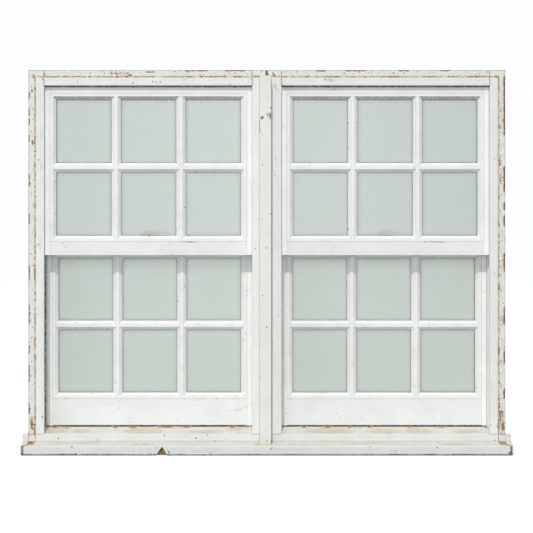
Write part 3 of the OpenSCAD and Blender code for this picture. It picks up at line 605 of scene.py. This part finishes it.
# a cream stain: its middle across and in, and its two radii
CREAM = [(-640, 30, 60, 34), (-560, 24, 40, 20), (-370, 24, 70, 30), (-180, 16, 60, 22),
    (-90, 40, 40, 20), (190, 22, 90, 34), (350, 20, 60, 30), (450, 24, 60, 30), (600, 20, 50, 24),
    (-370, -28, 40, 14), (560, -28, 60, 14), (20, 8, 14, 30), (-30, -26, 12, 14), (-560, -18, 120, 9),
    (300, -20, 120, 9)]
HALF_BAND = BAND * 500
FEET = HALF * MM - HALF_BAND  # middles of the two feet of the casing


def sill_wear_and_shade(p, normal):
    x, y, z = p.x * MM, p.y * MM, p.z * MM
    nose = NOSE * MM
    bare = stain = dirt_and_shade = 0.0
    if normal.z > 0.8:
        stain = 0.25 + 0.8 * max(0, rough(6, x / 50, y / 9) - 0.4)
        for mark in CREAM:
            stain = max(stain, blotch(x, y, *mark, 1.0))
        stain *= 0.35 + 1.3 * rough(19, x / 13, y / 3.4)
        if y > 46:
            broken = 0.45 + 0.8 * rough(17, x / 7, y / 6)
            for middle, half in UNDER_SASH:
                bare = max(bare, blotch(x, y, middle, 57, half, 20, 0.66) * broken)
            stain = max(stain, 1.6 * bare)
        bare = max(bare, 0.42 * rough(7, x / 9, y / 5) * max(0, 1 - abs(y + 1) / 6))
        stain = max(stain, 0.9 * max(0, 1 - abs(y + 1) / 7))
        # painted shade and dirt: the top is painted dark from 55 mm in, at the foot of the lower sashes
        dirt_and_shade = 1.5 * min(1, max(0, (y - 55) / 3)) * (1 - min(1, 1.6 * bare)) if y < 70 else 0.0
    foot = abs(abs(x) - FEET)
    if y < 3:
        ring = max(0, 1 - abs(foot - HALF_BAND) / 3)
        reach = max(0.0, min(1.0, (y + 36) / 6))
        bare = max(bare, 0.62 * ring * reach * (0.5 + 0.8 * rough(8, x / 9, z / 9)))
        if foot < HALF_BAND + 1 and normal.z > 0.5:
            bare = max(bare, reach * (0.34 + 0.44 * rough(9, x / 7, y / 9)))
            stain = 0.6
        bare = max(bare, scratch(abs(x), y, (FEET, -20), (724, -47.5), 5, 1.0))
    if y < nose + 3:
        # painted shade: the lowest 4 mm of the nose front is painted dark, where it meets the floor
        dirt_and_shade = max(dirt_and_shade, 1.3 * min(1, max(0, 2 - z / 2)) * (0.5 + rough(13, x / 30, 0.5)))
        if 4 < z < 24:
            bare = max(bare, blotch(x, z, -325, 22, 5, 4, 0.66), blotch(x, z, -290, 9, 3, 5, 0.7),
                blotch(x, z, 718, 6, 8, 6, 0.66))
    in_break = -328 < x < -293 and nose + 0.4 < y < nose + 14.5 and 0.4 < z < 26.4
    if in_break and normal.z < 0.5:
        bare, stain = 1.0, 1.4 * rough(20, x / 3, z / 3)
        dirt_and_shade = min(1.3, 0.6 + max(0, z - 12) / 8) * (0.5 + rough(14, x / 3, z / 3))
    ends = max(0, 1 - (HORN * MM - abs(x)) / 4)
    return max(bare, 0.4 * ends * rough(10, y / 8, z / 8)), stain, dirt_and_shade


print("marks on the sill:", len(UNDER_SASH) + len(CREAM))

# %% [markdown]
# The sashes are cleaner, because they were painted last. The dirt_and_shade attribute carries
# painted shade here: a dark band with soot in the groove under the head, on the down-facing bevel
# of the top beads, on the parting stop at the side that gets no sun, and along the foot of the lower
# sash.

# %% Where the sashes are dirty and painted with shade
def rail_wear_and_shade(p, normal):
    x, z = abs(p.x) * MM, p.z * MM
    # painted shade, with soot: a dark band from 6 mm under the head lining up into the groove behind it,
    # where the gap is in shade
    dirt_and_shade = 1.15 * min(1, max(0, (z - UNDER_HEAD + 6) / 3)) * max(0.15, min(1, (UNDER_HEAD + 6 - z) / 3))
    if p.x < 0:
        bare = max(scratch(x, z, (265, 634), (200, 631), 2.4, 0.7), blotch(x, z, 284, 596, 8, 6, 0.44),
            scratch(x, z, (612, 630), (600, 606), 2.4, 0.6),
            scratch(x, z, (598, 622), (588, 598), 2.4, 0.56),
            scratch(x, z, (585, 640), (560, 641), 2.4, 0.6), blotch(x, z, 578, 612, 4, 3, 0.56))
    else:
        bare = max(scratch(x, z, (470, 633), (540, 632), 2.2, 0.6), blotch(x, z, 620, 612, 5, 4, 0.5))
    return bare, 0.0, dirt_and_shade


def bead_shade(p, normal):
    # painted shade: the down-facing bevels of the beads near the head are painted darker
    under = normal.z < -0.3 and p.z * MM > UNDER_HEAD - 60
    return 0.0, 0.0, 0.42 if under else 0.0


def foot_shade(p, normal):
    # painted shade: the lowest 1.2 mm of the rail is painted dark, fading over 1.4 mm more, where the
    # sash stands on the sill
    above = p.z * MM - LOWER_FOOT
    return 0.0, 0.0, 1.2 * max(0, 1 - max(0, above - 1.2) / 1.4)


def stop_shade(p, normal):
    # painted shade: the front of the parting stops below the meeting rails, on the side of each unit away
    # from the sun, is painted dark
    sunless = p.x < -HALF / 2 or 0 < p.x < HALF / 2
    if not sunless or p.z > MEETING or p.y > STOP_FACE + 0.004:
        return 0.0, 0.0, 0.0
    return 0.0, 0.0, 0.55 + 0.5 * rough(21, p.z * 40, 0.5)


print("foot of the lower sashes at", round(LOWER_FOOT, 1), "mm")

# %% Build the weathered boards
PAINT_THICKNESS = 0.0004  # many coats


def weather(name, slices, wear):
    board = sliced_copy(name, slices)
    mesh = board.data
    marks = [wear(vertex.co, vertex.normal) for vertex in mesh.vertices]
    for key, numbers in zip(("bare", "stain", "dirt_and_shade"), zip(*marks)):
        mesh.attributes.new(key, "FLOAT", "POINT").data.foreach_set("value", numbers)
    ways = [vertex.normal.copy() for vertex in mesh.vertices]
    low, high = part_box(name)
    for vertex, mark, way in zip(mesh.vertices, marks, ways):
        sunk = vertex.co - way * PAINT_THICKNESS * max(0.0, min(1.0, (mark[0] - 0.3) * 4))
        vertex.co = [min(max(value, least), most) for value, least, most in zip(sunk, low, high)]
    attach(board, node_body[name])
    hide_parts(name)
    print(board.name, len(mesh.vertices), "points,", sum(mark[0] > 0.4 for mark in marks), "of them bare")


def slices_of(name, steps):
    low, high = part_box(name)
    return [cuts(low[axis], high[axis], step) for axis, step in enumerate(steps)]


LINING_STEPS = {"lining": (0.0024, 0.007, 0.0032), "mullion_lining": (0.004, 0.007, 0.005),
    "head_lining": (0.0035, 0.007, 0.0024)}
for side in ("left", "right"):
    for part, steps in LINING_STEPS.items():
        name = f"{side}_{part}"
        weather(name, slices_of(name, steps), lining_wear)
    for rail in ("top_rail", "bottom_rail"):
        name = f"upper_{side}_sash_{rail}"
        weather(name, slices_of(name, (0.006, 0.018, 0.003)), rail_wear_and_shade)
    for stile in ("left_stile", "right_stile"):
        name = f"upper_{side}_sash_{stile}"
        top = UNDER_HEAD / MM
        weather(name, [[], [], cuts(top - 0.014, top + 0.004, 0.002)], rail_wear_and_shade)
    name = f"lower_{side}_sash_bottom_rail"
    foot = LOWER_FOOT / MM
    low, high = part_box(name)
    weather(name, [cuts(low.x, high.x, 0.02), [], cuts(foot, foot + 0.006, 0.0008)], foot_shade)
    name = side + "_parting_stops"
    low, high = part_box(name)
    weather(name, [[], [STOP_FACE + 0.003, STOP_FACE + 0.005], cuts(low.z, MEETING + 0.03, 0.02)],
        stop_shade)
    name = f"upper_{side}_sash_beads"
    weather(name, slices_of(name, (0.012, 0.02, 0.012)), bead_shade)
weather("mullion_cover", slices_of("mullion_cover", (0.0034, 0.006, 0.004)), cover_wear)
sill_low, sill_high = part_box("sill")
foot_cuts = cuts(0.68, HORN, 0.0022)
weather("sill", [cuts(-0.68, 0.68, 0.005) + foot_cuts + [-x for x in foot_cuts],
    cuts(sill_low.y, 0.07, 0.0032), [0.0015, 0.003] + cuts(0.003, sill_high.z, 0.004)], sill_wear_and_shade)

# %% [markdown]
# ## Old caulk, nails, splinters and screws
# What is left of the outer casing is a broken ridge of brown caulk, 20 mm in from the edge, and the
# nails that held it. A ridge follows a path and nails repeat along it, so Geometry Nodes makes
# both: one tree turns the path into a thin tube whose thickness wanders and breaks off, the other
# puts a small head on points along the path. A third tree scatters splinters over the broken wood,
# and a fourth sets slotted screws in the plates of the locks.

# %% Helpers for Geometry Nodes
def begin_tree(name, inputs):
    tree = bpy.data.node_groups.new(name, "GeometryNodeTree")
    tree.interface.new_socket("Geometry", in_out="INPUT", socket_type="NodeSocketGeometry")
    for label, kind in inputs.items():
        tree.interface.new_socket(label, in_out="INPUT", socket_type="NodeSocket" + kind)
    tree.interface.new_socket("Geometry", in_out="OUTPUT", socket_type="NodeSocketGeometry")
    return tree, add_node(tree, "NodeGroupInput").outputs


def end_tree(tree, shape, material):
    solid = add_node(tree, "GeometryNodeRealizeInstances", {0: shape})
    painted = add_node(tree, "GeometryNodeSetMaterial", {"Geometry": solid, "Material": material})
    add_node(tree, "NodeGroupOutput", {0: painted})


def grow(name, tree, corners, edges, body, values):
    """Run a tree over a path and keep the result as a plain mesh that rides on a body."""
    path = bpy.data.meshes.new(name + "_path")
    path.from_pydata(corners, edges, [])
    piece = bpy.data.objects.new(name, path)
    bpy.context.scene.collection.objects.link(piece)
    modifier = piece.modifiers.new("grow", "NODES")
    modifier.node_group = tree
    for socket in tree.interface.items_tree:
        if socket.in_out == "INPUT" and socket.name in values:
            modifier[socket.identifier] = values[socket.name]
    graph = bpy.context.evaluated_depsgraph_get()
    made = bpy.data.meshes.new_from_object(piece.evaluated_get(graph))
    piece.modifiers.clear()
    made.materials.clear()
    made.materials.append(values["Material"])
    made.polygons.foreach_set("material_index", [0] * len(made.polygons))
    piece.data = made
    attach(piece, body)
    print(name, len(made.polygons), "faces, material", made.materials[0].name)
    return piece


print("helpers are ready")

# %% Tree for a broken ridge of caulk
caulk_tree, given = begin_tree("broken_ridge", {"Width": "Float", "Missing": "Float", "Seed": "Int",
    "Material": "Material"})
here = add_node(caulk_tree, "GeometryNodeInputPosition")
line = add_node(caulk_tree, "GeometryNodeMeshToCurve", {0: given["Geometry"]})
fine = add_node(caulk_tree, "GeometryNodeResampleCurve", {0: line, "Length": 0.003}, mode="LENGTH")
sway = add_node(caulk_tree, "ShaderNodeTexNoise", {"Vector": here, "W": given["Seed"], "Scale": 60.0},
    noise_dimensions="4D")
sway = add_node(caulk_tree, "ShaderNodeVectorMath", {0: sway.outputs["Color"], 1: (0.5, 0.5, 0.5)},
    operation="SUBTRACT")
sway = add_node(caulk_tree, "ShaderNodeVectorMath", {0: sway, 1: (0.004, 0.0, 0.004)},
    operation="MULTIPLY")
bent = add_node(caulk_tree, "GeometryNodeSetPosition", {"Geometry": fine, "Offset": sway})
wire = add_node(caulk_tree, "GeometryNodeCurveToMesh", {"Curve": bent})
breaks = add_node(caulk_tree, "ShaderNodeTexNoise", {"Vector": here, "W": given["Seed"], "Scale": 28.0,
    "Detail": 4.0}, noise_dimensions="4D")
broken = add_node(caulk_tree, "FunctionNodeCompare", {0: breaks.outputs[0], 1: given["Missing"]},
    operation="LESS_THAN")
parts = add_node(caulk_tree, "GeometryNodeDeleteGeometry", {"Geometry": wire, "Selection": broken},
    domain="POINT")
lines = add_node(caulk_tree, "GeometryNodeMeshToCurve", {0: parts})
lumps = add_node(caulk_tree, "ShaderNodeTexNoise", {"Vector": here, "Scale": 190.0, "Detail": 3.0})
thick = add_node(caulk_tree, "ShaderNodeMapRange", {"Value": lumps, 1: 0.3, 2: 0.7, 3: 0.35, 4: 1.4})
thick = add_node(caulk_tree, "ShaderNodeMath", {0: thick, 1: given["Width"]}, operation="MULTIPLY")
ring = add_node(caulk_tree, "GeometryNodeCurvePrimitiveCircle", {"Resolution": 6, "Radius": 0.5})
tube = add_node(caulk_tree, "GeometryNodeCurveToMesh", {"Curve": lines, "Profile Curve": ring.outputs[0],
    "Scale": thick, "Fill Caps": True})
flatter = add_node(caulk_tree, "ShaderNodeVectorMath", {0: here, 1: (1.0, 0.4, 1.0)},
    operation="MULTIPLY")
tube = add_node(caulk_tree, "GeometryNodeSetPosition", {"Geometry": tube, "Position": flatter})
end_tree(caulk_tree, tube, given["Material"])
print("tree:", caulk_tree.name, len(caulk_tree.nodes), "nodes")

# %% Tree for nail heads along a path
nail_tree, given = begin_tree("nails_along_a_path", {"Spacing": "Float", "Spread": "Vector",
    "Head": "Float", "Seed": "Int", "Material": "Material"})
line = add_node(nail_tree, "GeometryNodeMeshToCurve", {0: given["Geometry"]})
spots = add_node(nail_tree, "GeometryNodeResampleCurve", {0: line, "Length": given["Spacing"]},
    mode="LENGTH")
least = add_node(nail_tree, "ShaderNodeVectorMath", {0: given["Spread"], 1: (-1.0, -1.0, -1.0)},
    operation="MULTIPLY")
shift = add_node(nail_tree, "FunctionNodeRandomValue", {0: least.outputs[0], 1: given["Spread"],
    "Seed": given["Seed"]}, data_type="FLOAT_VECTOR")
spots = add_node(nail_tree, "GeometryNodeSetPosition", {"Geometry": spots, "Offset": shift.outputs[0]})
head = add_node(nail_tree, "GeometryNodeMeshCylinder", {"Vertices": 9, "Radius": given["Head"],
    "Depth": 0.0008})
size = add_node(nail_tree, "FunctionNodeRandomValue", {2: 0.55, 3: 1.3, "Seed": given["Seed"]})
heads = add_node(nail_tree, "GeometryNodeInstanceOnPoints", {"Points": spots, "Instance": head.outputs[0],
    "Rotation": (math.radians(90), 0.0, 0.0), "Scale": size.outputs[1]})
end_tree(nail_tree, heads, given["Material"])
print("tree:", nail_tree.name, len(nail_tree.nodes), "nodes")

# %% Tree for splinters in a broken edge
splinter_tree, given = begin_tree("splinters", {"Length": "Float", "Thickness": "Float", "Seed": "Int",
    "Material": "Material"})
shard = add_node(splinter_tree, "GeometryNodeMeshCone", {"Vertices": 4, "Radius Top": 0.0,
    "Radius Bottom": given["Thickness"], "Depth": given["Length"]})
turn = add_node(splinter_tree, "FunctionNodeRandomValue", {0: (0.4, -0.8, -0.2), 1: (0.62, 0.8, 0.2),
    "Seed": given["Seed"]}, data_type="FLOAT_VECTOR")
size = add_node(splinter_tree, "FunctionNodeRandomValue", {2: 0.4, 3: 1.3, "Seed": given["Seed"]})
shards = add_node(splinter_tree, "GeometryNodeInstanceOnPoints", {"Points": given["Geometry"],
    "Instance": shard.outputs[0], "Rotation": turn.outputs[0], "Scale": size.outputs[1]})
end_tree(splinter_tree, shards, given["Material"])
print("tree:", splinter_tree.name, len(splinter_tree.nodes), "nodes")

# %% Tree for slotted screws
screw_tree, given = begin_tree("slotted_screws", {"Head": "Float", "Sunk": "Float", "Seed": "Int",
    "Material": "Material"})
disc = add_node(screw_tree, "GeometryNodeMeshCylinder", {"Vertices": 16, "Radius": given["Head"],
    "Depth": 0.0012})
slot = add_node(screw_tree, "GeometryNodeMeshCube", {"Size": (0.02, 0.0009, 0.001)})
slot = add_node(screw_tree, "GeometryNodeTransform", {"Geometry": slot.outputs[0],
    "Translation": (0.0, 0.0, 0.0006)})
cut = add_node(screw_tree, "GeometryNodeMeshBoolean", {"Mesh 1": disc.outputs[0],
    "Mesh 2": slot.outputs[0]}, operation="DIFFERENCE")
spin = add_node(screw_tree, "FunctionNodeRandomValue", {0: (0.0, 0.0, 0.0), 1: (0.0, 0.0, 3.1),
    "Seed": given["Seed"]}, data_type="FLOAT_VECTOR")
screws = add_node(screw_tree, "GeometryNodeInstanceOnPoints", {"Points": given["Geometry"],
    "Instance": cut.outputs[0], "Rotation": spin.outputs[0]})
solid = add_node(screw_tree, "GeometryNodeRealizeInstances", {0: screws})
down = add_node(screw_tree, "ShaderNodeCombineXYZ", {"Z": given["Sunk"]})
screws = add_node(screw_tree, "GeometryNodeSetPosition", {"Geometry": solid, "Offset": down})
end_tree(screw_tree, screws, given["Material"])
print("tree:", screw_tree.name, len(screw_tree.nodes), "nodes")

# %% Grow them on the frame
caulk = weathered_paint("cracked_oil_caulk", (1.0, 1.0, 1.0), wear=0.2, white="#b9a88c", patch="#8f7a60")
raw_wood = weathered_paint("splintered_pine", (0.2, 1.0, 1.0), wear=0.0, arris=0.0, white="#ead2ab",
    patch="#b48c5e", joint_dirt_and_shade=0.0)
FOOT = 0.0375  # the linings stand on the sill's tread


def up_and_over(inset, foot):
    """Path up the left side, along the top and down the right side, inset from the outer edges."""
    x, top = HALF - inset, TOP - inset
    return [(-x, 0, foot), (-x, 0, top), (x, 0, top), (x, 0, foot)]


joined = [(0, 1), (1, 2), (2, 3)]
grow("caulk_ridge", caulk_tree, up_and_over(BAND, FOOT), joined, node_body["left_lining"],
    {"Width": 0.0026, "Missing": 0.5, "Seed": 3, "Material": caulk})
grow("casing_nails", nail_tree, up_and_over(BAND / 2, FOOT + 0.02), joined, node_body["left_lining"],
    {"Spacing": 0.036, "Spread": (0.006, 0.0, 0.006), "Head": 0.0013, "Seed": 5,
    "Material": rust})
# the break slopes back from the top arris of the nose, and is widest at its foot
BREAK_LEFT, BREAK_RIGHT = -0.3265, -0.2965
NOSE_TOP = 0.027
random.seed(11)
roots = []
for i in range(46):
    z = random.uniform(0.003, 0.012)
    low_x, high_x = BREAK_LEFT + z * 0.6, BREAK_RIGHT - z * 0.55
    roots.append((random.uniform(low_x, high_x), NOSE + 0.003 + (NOSE_TOP - z) * 0.39, z))
grow("nose_splinters", splinter_tree, roots, [], node_body["sill"],
    {"Length": 0.011, "Thickness": 0.0011, "Seed": 8, "Material": raw_wood})
INSET = 0.005  # from a plate's end to its screw
KEEPER_MIDDLE = 0.0085  # from the front of the keeper's plate to its screws
HEAD_UP = 0.0019  # from a plate's foot to the middle of a screw's head
for side in ("left", "right"):
    for part in ("base", "keeper"):
        name = f"{side}_sash_lock_{part}"
        low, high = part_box(name)
        y = (low.y + high.y) / 2 if part == "base" else low.y + KEEPER_MIDDLE
        heads = [(low.x + INSET, y, low.z + HEAD_UP), (high.x - INSET, y, low.z + HEAD_UP)]
        grow(f"{side}_{part}_screws", screw_tree, heads, [], node_body[name],
            {"Head": 0.0031, "Sunk": -0.0004, "Seed": len(name), "Material": brass})
